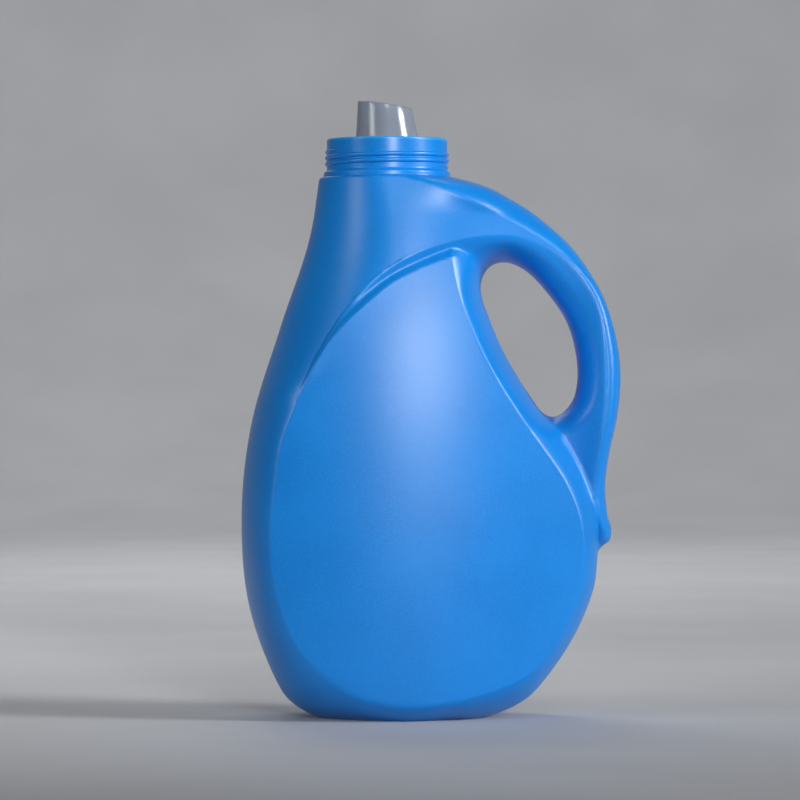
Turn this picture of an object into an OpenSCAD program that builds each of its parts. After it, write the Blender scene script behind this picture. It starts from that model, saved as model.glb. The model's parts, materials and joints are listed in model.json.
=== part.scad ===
// Laundry detergent bottle: a blow-moulded body with a loop handle, and a drain-back pour spout.
// Millimetres, +Z up, +X towards the handle. The origin is under the middle of the bottle, on the floor.

/* [Body] */
// Height of the body, from the floor to the ledge under the neck
body_height = 244.5; // [213:0.5:283]
// Width of the body, from its front edge to the back of the handle
body_width = 172; // [150:1:200]
// Depth of the body at its deepest
body_depth = 95; // [80:1:115]
// Thickness of the moulded wall
wall = 1.6; // [1.2:0.1:2.2]
// How far the panel's edges fall back from its middle
panel_crown = 9; // [4:0.5:12]
// How far the middle of the base is pushed up
push_up = 4; // [2:0.5:8]
// Width of the ring that the bottle stands on
standing_ring = 5; // [3:0.5:8]

/* [Handle] */
// Depth of the handle along its crest
handle_depth = 30; // [24:1:36]
// Height of the finger gap
finger_height = 70; // [56:1:76]
// Width of the finger gap at its middle
finger_width = 34; // [24:1:36]

/* [Neck] */
// Diameter of the neck at the root of its thread
neck_d = 54.6; // [46:0.2:58]
// Height of the neck, from the ledge to the rim
neck_height = 17.4; // [14:0.2:24]
// Thickness of the neck's wall
neck_wall = 2.2; // [1.6:0.1:3]
// Diameter of the bead at the foot of the neck
bead_d = 57.4; // [55:0.2:60]
// Height of the bead at the foot of the neck
bead_height = 2.4; // [1.5:0.1:4]
// Width of the ledge outside the bead
ledge = 2; // [1:0.1:3]

/* [Pour spout] */
// Height of the tube's front above the rim
spout_front = 17.4; // [10:0.2:24]
// Height of the tube's back above the rim
spout_back = 13.8; // [8:0.2:20]
// Outer diameter of the tube at the rim
spout_d = 28.6; // [22:0.2:32]
// Narrowing of the tube's diameter for each millimetre of height
spout_taper = 0.27; // [0.1:0.01:0.36]
// Lean of the tube towards the front, in degrees
spout_lean = 4.8; // [0:0.1:6]
// Thickness of the insert's walls
spout_wall = 1.3; // [0.8:0.1:2]
// Depth of the skirt in the bore
skirt_depth = 15; // [12:0.5:20]
// Depth of the trough's floor below the rim, at its middle
floor_depth = 9; // [7:0.5:10]
// Width of the flange's seat in the rim
seat_width = 0.9; // [0.6:0.1:1.2]
// Thickness of the flange
flange_height = 1.4; // [1:0.1:2.4]
// Fall of the trough's floor, in degrees
floor_fall = 8; // [4:1:12]
// Diameter of the drain hole in the trough's floor
drain_d = 5; // [3:0.5:6]
// Gap round the insert where it sits in the neck
fit_gap = 0.1; // [0.05:0.05:0.2]

/* [Hidden] */
$fn = 96;
eps = 0.01;

// The side view is drawn on a sheet, with x from the neck's axis and z from the sheet's lower edge.
// These are the sheet's own extents, and the drawn lines stretch from them to the body's sizes.
// The floor cuts the rounded base off a little above the sheet's lower edge.
sheet_height = 246.5;
floor_cut = 2;
sheet_front = -66;
sheet_back = 106;
sheet_depth = 95;
sx = body_width / (sheet_back - sheet_front);
sz = body_height / (sheet_height - floor_cut);
sy = body_depth / sheet_depth;
sheet_top = sheet_height * sz;
floor_z = floor_cut * sz;

ledge_r = bead_d / 2 + ledge;
bore_r = neck_d / 2 - neck_wall;
rim_z = body_height + neck_height;
handle_half = handle_depth / 2;
// Step by which the shell's opening is smaller than the neck's bore, and how far the neck is let into it
bore_step = 0.8;
neck_sink = 0.3;
// Chamfer at the rim and above the bead
lip = 0.6;

// Curve tools

function clamp(v, low, high) = min(max(v, low), high);
function mix(a, b, t) = a + (b - a) * t;
function ease(t) = let (u = clamp(t, 0, 1)) u * u * (3 - 2 * u);
// The larger of two heights, with the valley between them rounded over a width k
function blend_max(a, b, k) = (a + b + sqrt((a - b) * (a - b) + k * k)) / 2;
// A quarter ellipse: 1 where s is 0, and falling to 0 where s is 1
function quarter(s) = sqrt(1 - pow(clamp(s, 0, 1), 2));
// The same, with a crease where it starts
function creased(s, crease) = quarter(s) * (1 - crease * clamp(s, 0, 1));
// A distance from an edge, eased so that a slope that starts there has a rounded edge
function softened(g) = sqrt(g * g + edge_round * edge_round) - edge_round;

function secant(p, i) = (p[i + 1][1] - p[i][1]) / (p[i + 1][0] - p[i][0]);
function tangent(p, i) = let (n = len(p) - 1)
    i == 0 ? secant(p, 0) : i == n ? secant(p, n - 1) :
    let (a = p[i][0] - p[i - 1][0], b = p[i + 1][0] - p[i][0])
    (secant(p, i - 1) * b + secant(p, i) * a) / (a + b);
// A smooth curve through points [u, v], read at u and held level past its ends
function curve(p, u_free) = let (
        n = len(p) - 1,
        u = clamp(u_free, p[0][0], p[n][0]),
        i = max([for (k = [0 : n - 1]) if (p[k][0] <= u || k == 0) k]),
        span = p[i + 1][0] - p[i][0],
        t = (u - p[i][0]) / span
    ) p[i][1] * (1 + 2 * t) * (1 - t) * (1 - t) + tangent(p, i) * span * t * (1 - t) * (1 - t)
    + p[i + 1][1] * t * t * (3 - 2 * t) - tangent(p, i + 1) * span * t * t * (1 - t);

// A smooth line through points [x, z], with some steps between each two
function bend(a, b, c, d, t) = (2 * b + (c - a) * t + (2 * a - 5 * b + 4 * c - d) * t * t
    + (3 * b - a - 3 * c + d) * t * t * t) / 2;
function smooth_line(p, steps) = let (n = len(p) - 1) concat(
    [for (i = [0 : n - 1], k = [0 : steps - 1])
        bend(p[max(i - 1, 0)], p[i], p[i + 1], p[min(i + 2, n)], k / steps)], [p[n]]);
function stretched(p) = [for (q = p) [q[0] * sx, q[1] * sz]];

function segment_gap(p, a, b) = let (d = b - a, t = clamp(((p - a) * d) / (d * d), 0, 1))
    norm(p - a - t * d);
function gap(p, line) = min([for (i = [0 : len(line) - 2]) segment_gap(p, line[i], line[i + 1])]);
// Where a line crosses the level z
function crossings(line, z) = [for (i = [0 : len(line) - 2])
    let (a = line[i], b = line[i + 1])
    if ((a[1] - z) * (b[1] - z) <= 0 && a[1] != b[1]) mix(a[0], b[0], (z - a[1]) / (b[1] - a[1]))];
// The height at which a line's upper stretch passes x
function upper_crossing(line, x) = max([for (i = [0 : len(line) - 2])
    let (a = line[i], b = line[i + 1])
    if ((a[0] - x) * (b[0] - x) <= 0 && a[0] != b[0]) mix(a[1], b[1], (x - a[0]) / (b[0] - a[0]))]);

// Lines of the side view, drawn on the sheet

// Front edge and back edge, as x at each height, before the base is rounded
front_points = [[0, -40], [22, -52], [48, -61.5], [91, -66], [135, -61.5], [178, -48.6], [222, -34.5]];
back_points = [[0, 55], [22, 74], [44, 87.6], [66, 94.8], [74, 95.5], [77.5, 96.2], [79.6, 98.2],
    [81.3, 100.5], [84.8, 101.7], [94, 100], [106, 99], [120, 100.6], [138, 104.4], [155, 106], [178, 103],
    [200, 94.2], [222, 76.5], [236.5, 56.3], [243, 43]];
// Height over which the base is rounded, and how far it pulls the front and back edges in
base_round = 14;
base_pull_front = 20;
base_pull_back = 24;
// How far the rounded base would reach below the floor, if the floor did not cut it, and where
base_below = 4;
base_middle = 8;
// Right edge of the body alone, behind the handle's tail
wall_points = [[66, 94.8], [74, 95.5], [90, 95.2], [101, 93.5], [110, 91], [128, 81], [138, 75]];
// The crest: from its tip on the left, over the shoulder and down the handle to the tail
crest_points = [[-40.2, 146.2], [-26.5, 174.6], [-7.4, 198.5], [13.9, 211.9], [34.9, 218.4], [48.3, 219.9],
    [61, 219], [80.5, 210], [94.1, 191], [98.2, 170], [98.7, 148], [96.9, 128.6], [93.7, 108.8],
    [95.5, 93], [100.5, 85]];
// The panel: its upper left edge, its ridge beside the handle and its lower loop
panel_top_edge = [[-39.2, 146.2], [-24.3, 172.3], [-2.5, 193.6], [11.7, 202.1], [28.8, 208.7]];
panel_ridge = [[28.8, 208.7], [33.4, 189.2], [44.9, 163], [62.7, 134.2], [80, 109], [87.5, 88],
    [86.7, 66.3], [80.4, 47.2], [71, 30.4], [57, 19.7], [34, 12]];
panel_loop = [[34, 12], [9, 9.5], [-16.7, 15.3], [-38.5, 34], [-49.6, 61.4], [-51.6, 85], [-49.6, 110],
    [-46.5, 128], [-39.2, 146.2]];
// The middle line of the finger gap, as x at each height
finger_middle = [[138, 75.2], [146, 75.2], [153, 73.7], [167.5, 69.2], [182, 63.8], [196.6, 56.6],
    [208, 52.7]];
finger_level = 173;
sheet_finger = 70;
// How much the finger gap widens over its height
finger_flare = 0.36;

// Half of the body's depth at each height
depth_points = [[0, 41], [30, 44.5], [70, 47], [105, 47.5], [150, 46], [185, 42.5], [215, 37.5],
    [235, 33.2]];
// Width over which the front edge is rounded, above the crest's tip
front_round_points = [[146, 19.6], [160, 27], [175, 35], [190, 41], [205, 42], [222, 38]];
// Width over which the back edge is rounded, above the handle
back_round_points = [[206, 6.5], [215, 9], [225, 13], [236, 20], [242, 25]];
// The handle's half depth at each height, as a share of its depth along the crest
tail_points = [[76, 0], [80, 0.35], [86, 0.62], [96, 0.88], [110, 1], [sheet_height, 1]];
// Middle of the panel's crown, and the distance from it at which the face has fallen by the crown
crown_x = -4;
crown_reach = 60;
// Where the shoulder starts and stops falling to the handle's depth
fall_start = 5;
fall_end = 95;
// Level above which the shoulder turns round like the neck
neck_blend = 232;
// Level above which the back edge has the shoulder's rounding, and where the crest ends on the tail
back_round_start = 206;
crest_end = 102;
// Slopes below the crest over the panel and on the handle, and where one changes to the other
groove_steep = 1.15;
groove_gentle = 0.32;
groove_change = 25;
groove_change_width = 55;
// Slope of the panel's upper edge into the groove, and the rounding at the groove's bottom
panel_edge_slope = 0.9;
groove_round = 1.2;
// Rounding of the valley between the body and the handle's tail, and the height over which it fades
tail_round = 6;
tail_fade = 20;
// Rounding of the crest and of the panel's upper edge
edge_round = 1.5;
// Crease along the panel's edge, where the bevels and the wall beside the handle turn away from it
edge_crease = 0.15;
// Height over which the front edge's rounding changes at the crest's tip
tip_blend = 14;
// Width of the wall between the panel's ridge and the finger gap, and of the rounding at the gap's rim
web_width = 15;
rim_round = 10;
// Levels between which the pillow at the foot of the body gives way to the panel's own edges
pillow_low = 52;
pillow_high = 76;
// Levels of the tail's foot and of the row above the crest, where the skin's rows are close
tail_low = 74;
tail_high = 92;
shoulder_level = 224;

line_steps = 3;
crest_line = smooth_line(stretched(crest_points), line_steps);
panel_top_line = smooth_line(stretched(panel_top_edge), line_steps);
panel_line = concat(panel_top_line, smooth_line(stretched(panel_ridge), line_steps),
    smooth_line(stretched(panel_loop), line_steps));
tip_level = crest_points[0][1];
tip_z = tip_level * sz;
tail_tip = crest_points[len(crest_points) - 1][1];
crest_top = max([for (q = crest_line) q[1]]);
apex = panel_ridge[0];
apex_x = apex[0] * sx;
apex_z = apex[1] * sz;
finger_top = finger_level * sz + finger_height / 2;
finger_bottom = finger_level * sz - finger_height / 2;

function base_pull(z) = 1 - quarter(1 - z / (base_round * sz));
function with_ledge(points, side) = concat(points, [[sheet_height, side * ledge_r / sx]]);
function front_x(z) = sx * (curve(with_ledge(front_points, -1), z / sz) + base_pull_front * base_pull(z));
function back_x(z) = sx * (curve(with_ledge(back_points, 1), z / sz) - base_pull_back * base_pull(z));
function half_depth(z) = curve(concat(depth_points, [[sheet_height, ledge_r / sy]]), z / sz) * sy;
function tail_half(z) = handle_half * curve(tail_points, z / sz);
function wall_x(z) = sx * curve(wall_points, z / sz);
function finger_half(z) = let (u = clamp((z - finger_level * sz) * 2 / finger_height, -1, 1))
    finger_width / 2 * (1 + finger_flare / 2 * u) * sqrt(1 - u * u);
function finger_x(z) = sx * curve(finger_middle,
    finger_level + (z - finger_level * sz) * sheet_finger / finger_height);
finger_line = [for (a = [0 : 10 : 360])
    let (z = finger_level * sz + finger_height / 2 * sin(a))
    [finger_x(z) + sign(cos(a)) * finger_half(z), z]];
// The lower outline, closer where it turns round the base
outline_top = 90;
outline_steps = 12;
function outline_z(k) = outline_top * sz * pow(k / outline_steps, 2);
outline_line = concat(
    [for (k = [outline_steps : -1 : 0]) [front_x(outline_z(k)), outline_z(k)]],
    [[base_middle * sx, -base_below * sz]],
    [for (k = [0 : outline_steps]) [back_x(outline_z(k)), outline_z(k)]]);

// The guide lines at a level: the edges, the panel, the crest and the finger gap
panel_squeeze = 9;
groove_squeeze = 3;
low_guide = 30;
function left_crossing(line, z, low, high) = min(crossings(line, clamp(z, low + eps, high - eps)));
function right_crossing(line, z, low, high) = max(crossings(line, clamp(z, low + eps, high - eps)));
function ridge_x(z) = right_crossing(panel_line, z, low_guide * sz, apex_z);
function panel_x(z) = left_crossing(panel_line, z, low_guide * sz, apex_z);
function crest_back_x(z) = right_crossing(crest_line, z, tail_tip * sz, crest_top);
function crest_front_x(z) = left_crossing(crest_line, z, tip_z, crest_top);

// Depth of the outer face, from the middle plane, at x and z

function crowned(x, z) = half_depth(z) - panel_crown * pow((x / sx - crown_x) / crown_reach, 2);
function shoulder_fall(x, z) = let (u = clamp((x / sx - fall_start) / (fall_end - fall_start), 0, 1))
    mix(0.5 + 0.5 * cos(180 * u), 1, ease((z / sz - neck_blend) / (sheet_height - neck_blend)));
function hood(x, z) = mix(tail_half(z), crowned(min(x, crown_x * sx), z), shoulder_fall(x, z));
function front_round(x, z, edge, panel) = let (
        upper = curve(concat(front_round_points, [[sheet_height, ledge_r / sx]]), z / sz) * sx,
        blend = tip_blend * sz,
        above = ease((z - tip_z + blend / 2) / blend),
        width = mix(panel - edge, upper, above)
    ) creased(1 - (x - edge) / width, edge_crease * (1 - above));
function back_round(x, z, edge, crest) = let (
        upper = curve(concat(back_round_points, [[sheet_height, ledge_r / sx]]), z / sz) * sx,
        width = z > back_round_start * sz ? upper : edge - crest
    ) quarter(1 - (edge - x) / width);
// Slope of the groove's far side below the crest, steep over the panel and gentle on the handle
function crest_slope(x) = mix(groove_steep, groove_gentle,
    ease((x / sx - groove_change) / groove_change_width));
// The panel, its upper slope into the groove and its wall beside the handle
function panel_face(x, z, ridge) = let (
        edge_z = x < apex_x ? upper_crossing(panel_top_line, max(x, panel_top_line[0][0])) : apex_z,
        over = softened(max(0, z - edge_z)),
        width = z > finger_bottom ? web_width * sx : wall_x(z) - ridge
    ) (crowned(x, z) - panel_edge_slope * over) * creased((x - ridge) / width, edge_crease);
function finger_round(x, z) = z > finger_top + rim_round || z < finger_bottom - rim_round ? 1
    : quarter(1 - gap([x, z], finger_line) / rim_round);
// Near the floor the face is a pillow between the panel's loop and the outline
function in_panel(x, z) = let (c = crossings(panel_line, z)) len(c) > 1 && x > min(c) && x < max(c);
function pillow(x, z) = let (
        from_panel = in_panel(x, z) ? 0 : gap([x, z], panel_line),
        from_edge = gap([x, z], outline_line)
    ) crowned(x, z) * creased(from_panel / (from_panel + from_edge), edge_crease);
// The valley's rounding, wide beside the tail and narrow above it
function valley_round(z) = mix(tail_round, groove_round, ease((z / sz - tail_high) / tail_fade));
// A row of guide values at level z: [z, front, crest front, panel, ridge, crest back, back]
function face_depth(x, row) = let (
        z = row[0],
        left = z > tip_z ? row[2] : row[3],
        right = z > crest_end * sz ? row[5] : row[6],
        walled = z < crest_top && x > left && x < right,
        below_crest = walled && x < crest_back_x(z),
        groove = below_crest ? crest_slope(x) * softened(gap([x, z], crest_line)) : 0,
        rounded = back_round(x, z, row[6], row[5]),
        outer = hood(x, z) * front_round(x, z, row[1], row[3]) * rounded - groove,
        wall_face = panel_face(x, z, row[4]),
        face = walled ? blend_max(outer, wall_face, valley_round(z) * rounded) : outer,
        low = z > pillow_high * sz ? 0 : pillow(x, z),
        rise = ease((z / sz - pillow_low) / (pillow_high - pillow_low))
    ) mix(low, max(face, eps) * finger_round(x, z), rise);

// The grid of the skin: levels up the body, and columns from the front edge round to the back

front_columns = 7;
groove_columns = 4;
panel_columns = 7;
web_columns = 4;
grip_columns = 6;
back_columns = 4;
groove_at = front_columns;
panel_at = groove_at + groove_columns;
ridge_at = panel_at + panel_columns;
seam = ridge_at + web_columns;
crest_at = seam + grip_columns;
last = crest_at + back_columns;

function spread(a, b, n) = [for (k = [0 : n - 1]) mix(a, b, k / n)];
base_rows = 4;
belly_rows = 6;
tail_rows = 6;
grip_rows = 6;
finger_rows = 12;
crest_rows = 8;
shoulder_rows = 7;
low_levels = concat(
    spread(floor_z, base_round * sz, base_rows), spread(base_round * sz, tail_low * sz, belly_rows),
    spread(tail_low * sz, tail_high * sz, tail_rows), spread(tail_high * sz, finger_bottom, grip_rows));
gap_levels = [for (k = [0 : finger_rows - 1])
    mix(finger_bottom, finger_top, (1 - cos(180 * k / finger_rows)) / 2)];
shoulder_levels = [for (k = [0 : shoulder_rows])
    mix(shoulder_level * sz, sheet_top, sin(90 * k / shoulder_rows))];
levels = concat(low_levels, gap_levels, spread(finger_top, shoulder_level * sz, crest_rows),
    shoulder_levels);
gap_low = len(low_levels);
gap_high = gap_low + finger_rows;
top = len(levels) - 1;

// Where the crest's column runs below the tail, and how the groove's columns part below the crest's tip
low_crest_share = 0.6;
groove_share = 0.3;
groove_parting = 40;
function guide_row(z) = let (
        front = front_x(z),
        back = back_x(z),
        ridge = ridge_x(z),
        panel = min(panel_x(z), ridge - panel_squeeze * sx),
        crest_back = z > crest_end * sz ? crest_back_x(z) : mix(ridge, back, low_crest_share),
        parting = ease((tip_z - z) / (groove_parting * sz)),
        below = mix(groove_squeeze * sx, groove_share * (panel - front), parting),
        crest_front = z > tip_z ? min(crest_front_x(z), panel - groove_squeeze * sx) : panel - below
    ) [z, front, crest_front, panel, ridge, crest_back, back];
// A row of the face's own lines, which the columns follow only where there is room
function face_row(z) = let (g = guide_row(z))
    [z, g[1], z > tip_z ? crest_front_x(z) : g[2], panel_x(z), g[4], g[5], g[6]];

function even_share(j) = (1 - cos(180 * j / last)) / 2;
function column_x(g, j, left, right) = j <= groove_at ? g[2] - (g[2] - g[1]) * cos(90 * j / front_columns)
    : j <= panel_at ? mix(g[2], g[3], (j - groove_at) / groove_columns)
    : j <= ridge_at ? mix(g[3], g[4], (j - panel_at) / panel_columns)
    : j <= seam ? mix(g[4], left, sin(90 * (j - ridge_at) / web_columns))
    : j <= crest_at ? mix(right, g[5], 1 - cos(90 * (j - seam) / grip_columns))
    : j <= last ? mix(g[5], g[6], sin(90 * (j - crest_at) / back_columns))
    : right;
// Columns keep their share of the width where the guides run out, and spread evenly at the ends
function row_xs(z) = let (
        kept = clamp(z, low_guide * sz, finger_top),
        g = guide_row(kept),
        opened = kept > finger_bottom && kept < finger_top ? finger_half(kept) : 0,
        seam_share = (finger_x(finger_bottom) - guide_row(finger_bottom)[4])
            / (guide_row(finger_bottom)[5] - guide_row(finger_bottom)[4]),
        middle = kept < finger_bottom ? mix(g[4], g[5], seam_share) : finger_x(kept),
        even = ease(1 - z / (low_guide * sz)) + ease((z - finger_top) / (sheet_top - finger_top)),
        front = front_x(z),
        back = back_x(z)
    ) [for (j = [0 : last + 1])
        let (x = column_x(g, j, middle - opened, middle + opened),
            share = (x - g[1]) / (g[6] - g[1]))
        mix(front, back, mix(share, even_share(j > last ? seam : j), even))];

function is_edge(j) = j == 0 || j == last;
function is_rim(r, j) = j == seam && r >= gap_low && r <= gap_high;
function row_points(r) = let (z = levels[r], row = face_row(z), xs = row_xs(z))
    [for (k = [0 : last + 1])
        let (j = k > last ? seam : k)
        r == top ? [-ledge_r * cos(180 * j / last), ledge_r * sin(180 * j / last), z]
        : [xs[k], is_edge(j) || is_rim(r, j) ? 0 : face_depth(xs[k], row), z]];
// One side of the skin, with the depth as a positive y. The last point of a row is the gap's far side.
skin = [for (r = [0 : top]) row_points(r)];
x_middle = (min([for (row = skin) row[0][0]]) + max([for (row = skin) row[last][0]])) / 2;

// The inside of the wall follows the skin along its normals
function unit(v) = v / max(norm(v), eps);
function mirror_y(p) = [p[0], -p[1], p[2]];
function neighbour(r, j) = j < 0 ? mirror_y(skin[r][1])
    : j > last ? mirror_y(skin[r][last - 1])
    : skin[r][j];
function inward(r, j, far) = let (
        p = far ? skin[r][last + 1] : skin[r][j],
        inside_gap = j == seam && r > gap_low && r < gap_high,
        up = r == top ? p : far && r + 1 < gap_high ? skin[r + 1][last + 1] : skin[r + 1][j],
        down = r == 0 ? p : far && r - 1 > gap_low ? skin[r - 1][last + 1] : skin[r - 1][j],
        before = inside_gap && far ? mirror_y(skin[r][seam + 1]) : neighbour(r, j - 1),
        after = inside_gap && !far ? mirror_y(skin[r][seam - 1]) : neighbour(r, j + 1)
    ) unit(cross(after - before, up - down));
function inner_point(r, j, far) = let (p = far ? skin[r][last + 1] : skin[r][j])
    r == top ? [p[0], p[1], 0] * (bore_r - bore_step) / ledge_r + [0, 0, p[2]]
    : j == seam && r == gap_high ? p + [0, 0, wall]
    : j == seam && r == gap_low ? p - [0, 0, wall]
    : let (q = p + wall * inward(r, j, far)) is_edge(j) || is_rim(r, j) ? [q[0], 0, q[2]] : q;
// It has every row of the skin where the skin is grooved, and every second row, from the top, elsewhere
function is_between(z, low, high) = z > low * sz && z < high * sz;
function is_grooved(z) = is_between(z, tip_level, shoulder_level) || is_between(z, tail_low, tail_high);
function is_end(r) = r == 0 || r == gap_low || r == gap_high;
inner_rows = [for (r = [0 : top]) if (is_end(r) || (top - r) % 2 == 0 || is_grooved(levels[r])) r];
lining = [for (r = inner_rows)
    concat([for (j = [0 : last]) inner_point(r, j, false)], [inner_point(r, seam, true)])];
lining_low = search(gap_low, inner_rows)[0];
lining_high = search(gap_high, inner_rows)[0];

// Base loops inside the lowest row: the standing ring's inner edge and the pushed-up middle
function drawn_in(row, by, z) = let (
        middle = (row[0][0] + row[last][0]) / 2,
        half = (row[last][0] - row[0][0]) / 2,
        deep = max([for (p = row) p[1]])
    ) [for (p = row) [middle + (p[0] - middle) * (1 - by / half), p[1] * (1 - by / deep), z]];
ring_row = drawn_in(skin[0], standing_ring, floor_z);
dome_row = drawn_in(skin[0], standing_ring + 2 * push_up, floor_z + push_up);
ring_lining = drawn_in(lining[0], standing_ring, floor_z + wall);
dome_lining = drawn_in(lining[0], standing_ring + 2 * push_up, floor_z + push_up + wall);

// A surface is a list of rows. Each row's points are one side, then their mirror images.
row_size = 2 * (last + 2);
function both_sides(rows) = [for (row = rows, s = [-1, 1], p = row)
    [p[0] - x_middle, s * p[1], p[2] - floor_z]];
// The index of a point, with the edges and the gap's rim shared by both sides
function at(start, r, j, s, far, low, high) = let (
        shared = is_edge(j) || (j == seam && r >= low && r <= high),
        split = j == seam && far && r > low && r < high
    ) start + r * row_size + (shared || s < 0 ? 0 : last + 2) + (split ? last + 1 : j);
function facing(loop, s, flip) = (s > 0) != flip ? loop : [for (k = [len(loop) - 1 : -1 : 0]) loop[k]];
function strips(start, rows, low, high, flip) = [for (r = [0 : rows - 2], s = [-1, 1], j = [0 : last - 1])
    let (far = j == seam,
        a = at(start, r, j, s, far, low, high), b = at(start, r, j + 1, s, false, low, high),
        c = at(start, r + 1, j + 1, s, false, low, high), d = at(start, r + 1, j, s, far, low, high))
    each [facing([a, b, c], s, flip), facing([a, c, d], s, flip)]];
function floor_strips(start, r, flip) = [for (j = [0 : last - 1])
    let (a = at(start, r, j, -1, false, -1, -1), b = at(start, r, j + 1, -1, false, -1, -1),
        c = at(start, r, j + 1, 1, false, -1, -1), d = at(start, r, j, 1, false, -1, -1))
    facing(j == 0 ? [a, b, c] : j == last - 1 ? [a, b, d] : [a, b, c, d], 1, flip)];
function rim_strips(start_a, row_a, start_b, row_b) = [for (s = [-1, 1], j = [0 : last - 1])
    facing([at(start_a, row_a, j, s, false, -1, -1), at(start_a, row_a, j + 1, s, false, -1, -1),
        at(start_b, row_b, j + 1, s, false, -1, -1), at(start_b, row_b, j, s, false, -1, -1)], s, false)];

module shell() {
    outer = concat([dome_row, ring_row], skin);
    inner = concat([dome_lining, ring_lining], lining);
    inner_start = len(outer) * row_size;
    polyhedron(
        points = concat(both_sides(outer), both_sides(inner)),
        faces = concat(
            strips(0, len(outer), gap_low + 2, gap_high + 2, false),
            strips(inner_start, len(inner), lining_low + 2, lining_high + 2, true),
            floor_strips(0, 0, false),
            floor_strips(inner_start, 0, true),
            rim_strips(0, len(outer) - 1, inner_start, len(inner) - 1)));
}

// Profile of the neck, from the ledge up: the bead, the plain wall and the seat for the insert's flange
module neck() {
    seat_r = bore_r + seat_width;
    translate([-x_middle, 0, body_height]) rotate_extrude() polygon([
        [bore_r, -neck_sink], [bead_d / 2, -neck_sink], [bead_d / 2, bead_height - lip],
        [neck_d / 2, bead_height + lip], [neck_d / 2, neck_height - lip],
        [neck_d / 2 - lip, neck_height], [seat_r, neck_height],
        [seat_r, neck_height - flange_height], [bore_r, neck_height - flange_height]]);
}

module bottle() color([0.07, 0.47, 0.9]) {
    shell();
    neck();
}

// The tube as a leaning cone, drawn in from its outer face
module spout_cone(inset) {
    foot = skirt_depth - spout_wall;
    head = spout_front + spout_d;
    foot_r = (spout_d + foot * spout_taper) / 2;
    head_r = (spout_d - head * spout_taper) / 2;
    rotate([0, -spout_lean, 0]) translate([0, 0, -foot])
        cylinder(h = foot + head, r1 = foot_r - inset, r2 = head_r - inset);
}

// Everything above the tube's slanted mouth
module above_mouth() {
    slant = atan2(spout_front - spout_back, spout_d - spout_front * spout_taper);
    side = 4 * spout_d;
    translate([0, 0, (spout_front + spout_back) / 2]) rotate([0, slant, 0])
        translate([-side / 2, -side / 2, 0]) cube(side);
}

// The insert: a flange on its seat, a skirt in the bore, a trough floor and the tube
module pour_spout() color([0.8, 0.84, 0.9, 0.6]) {
    flange_r = bore_r + seat_width - fit_gap;
    skirt_r = bore_r - fit_gap;
    drain_x = (spout_d / 2 + skirt_r) / 2;
    translate([-x_middle, 0, rim_z]) difference() {
        union() {
            rotate_extrude() polygon([[skirt_r - spout_wall, 0], [flange_r, 0], [flange_r, -flange_height],
                [skirt_r, -flange_height], [skirt_r, -skirt_depth], [skirt_r - spout_wall, -skirt_depth]]);
            difference() {
                spout_cone(0);
                above_mouth();
            }
            intersection() {
                translate([0, 0, -skirt_depth]) cylinder(h = skirt_depth, r = skirt_r - spout_wall / 2);
                translate([0, 0, -floor_depth]) rotate([0, floor_fall, 0])
                    cylinder(h = spout_wall, r = 2 * skirt_r);
            }
        }
        spout_cone(spout_wall);
        translate([drain_x, 0, -skirt_depth]) cylinder(h = skirt_depth, d = drain_d);
    }
}

bottle();
pour_spout();
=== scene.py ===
# %% [markdown]
# # A laundry detergent bottle
# The bottle is one blow-moulded piece of satin blue plastic with a loop handle. A pressed-in spout of
# natural, see-through plastic sits in its neck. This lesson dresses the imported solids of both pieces:
# it makes a fine skin for the body, winds a thread round the neck, rounds the spout's lip and gives
# each plastic its finish.

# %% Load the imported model
import json
import math

import bpy
import numpy as np
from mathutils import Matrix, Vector


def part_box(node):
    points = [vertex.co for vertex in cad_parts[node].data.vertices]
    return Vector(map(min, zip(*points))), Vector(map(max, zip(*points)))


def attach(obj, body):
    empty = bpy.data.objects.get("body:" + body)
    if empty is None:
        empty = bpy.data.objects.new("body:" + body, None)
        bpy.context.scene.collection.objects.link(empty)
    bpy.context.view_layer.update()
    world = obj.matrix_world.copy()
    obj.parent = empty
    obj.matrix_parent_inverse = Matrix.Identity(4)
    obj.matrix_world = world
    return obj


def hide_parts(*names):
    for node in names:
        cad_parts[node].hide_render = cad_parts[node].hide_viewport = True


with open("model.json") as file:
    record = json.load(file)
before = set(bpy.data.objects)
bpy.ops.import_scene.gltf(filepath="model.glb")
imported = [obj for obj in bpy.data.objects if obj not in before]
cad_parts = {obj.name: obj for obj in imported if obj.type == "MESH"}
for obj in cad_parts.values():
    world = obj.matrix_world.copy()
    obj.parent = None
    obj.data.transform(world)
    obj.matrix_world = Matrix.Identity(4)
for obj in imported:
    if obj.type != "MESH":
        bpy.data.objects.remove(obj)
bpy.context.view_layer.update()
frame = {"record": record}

MM = 0.001

# %% [markdown]
# ## Places that come from the frame
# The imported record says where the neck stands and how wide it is, and the bottle's box says how high the
# rim is. Everything below is drawn in millimetres on a sheet: x from the neck's axis, z from the sheet's
# lower edge, which lies a little under the floor because the floor cuts the rounded base.

# %% Read the neck's axis and the heights
mounts = {mount["name"]: mount for mount in frame["record"]["mounts"]}
neck_x = mounts["cap_neck"]["pos_m"][0] / MM
rim_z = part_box("bottle")[1].z / MM
neck_r = mounts["cap_neck"]["dims"]["r_mm"]
print("neck axis at x", neck_x, "rim at z", round(rim_z, 2), "neck radius", neck_r)

# %% [markdown]
# ## The camera
# The photograph looks straight at the side of the bottle from about two metres, with a long lens, a
# little above half height. The focal length in pixels gives the lens for a square picture.

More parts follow.
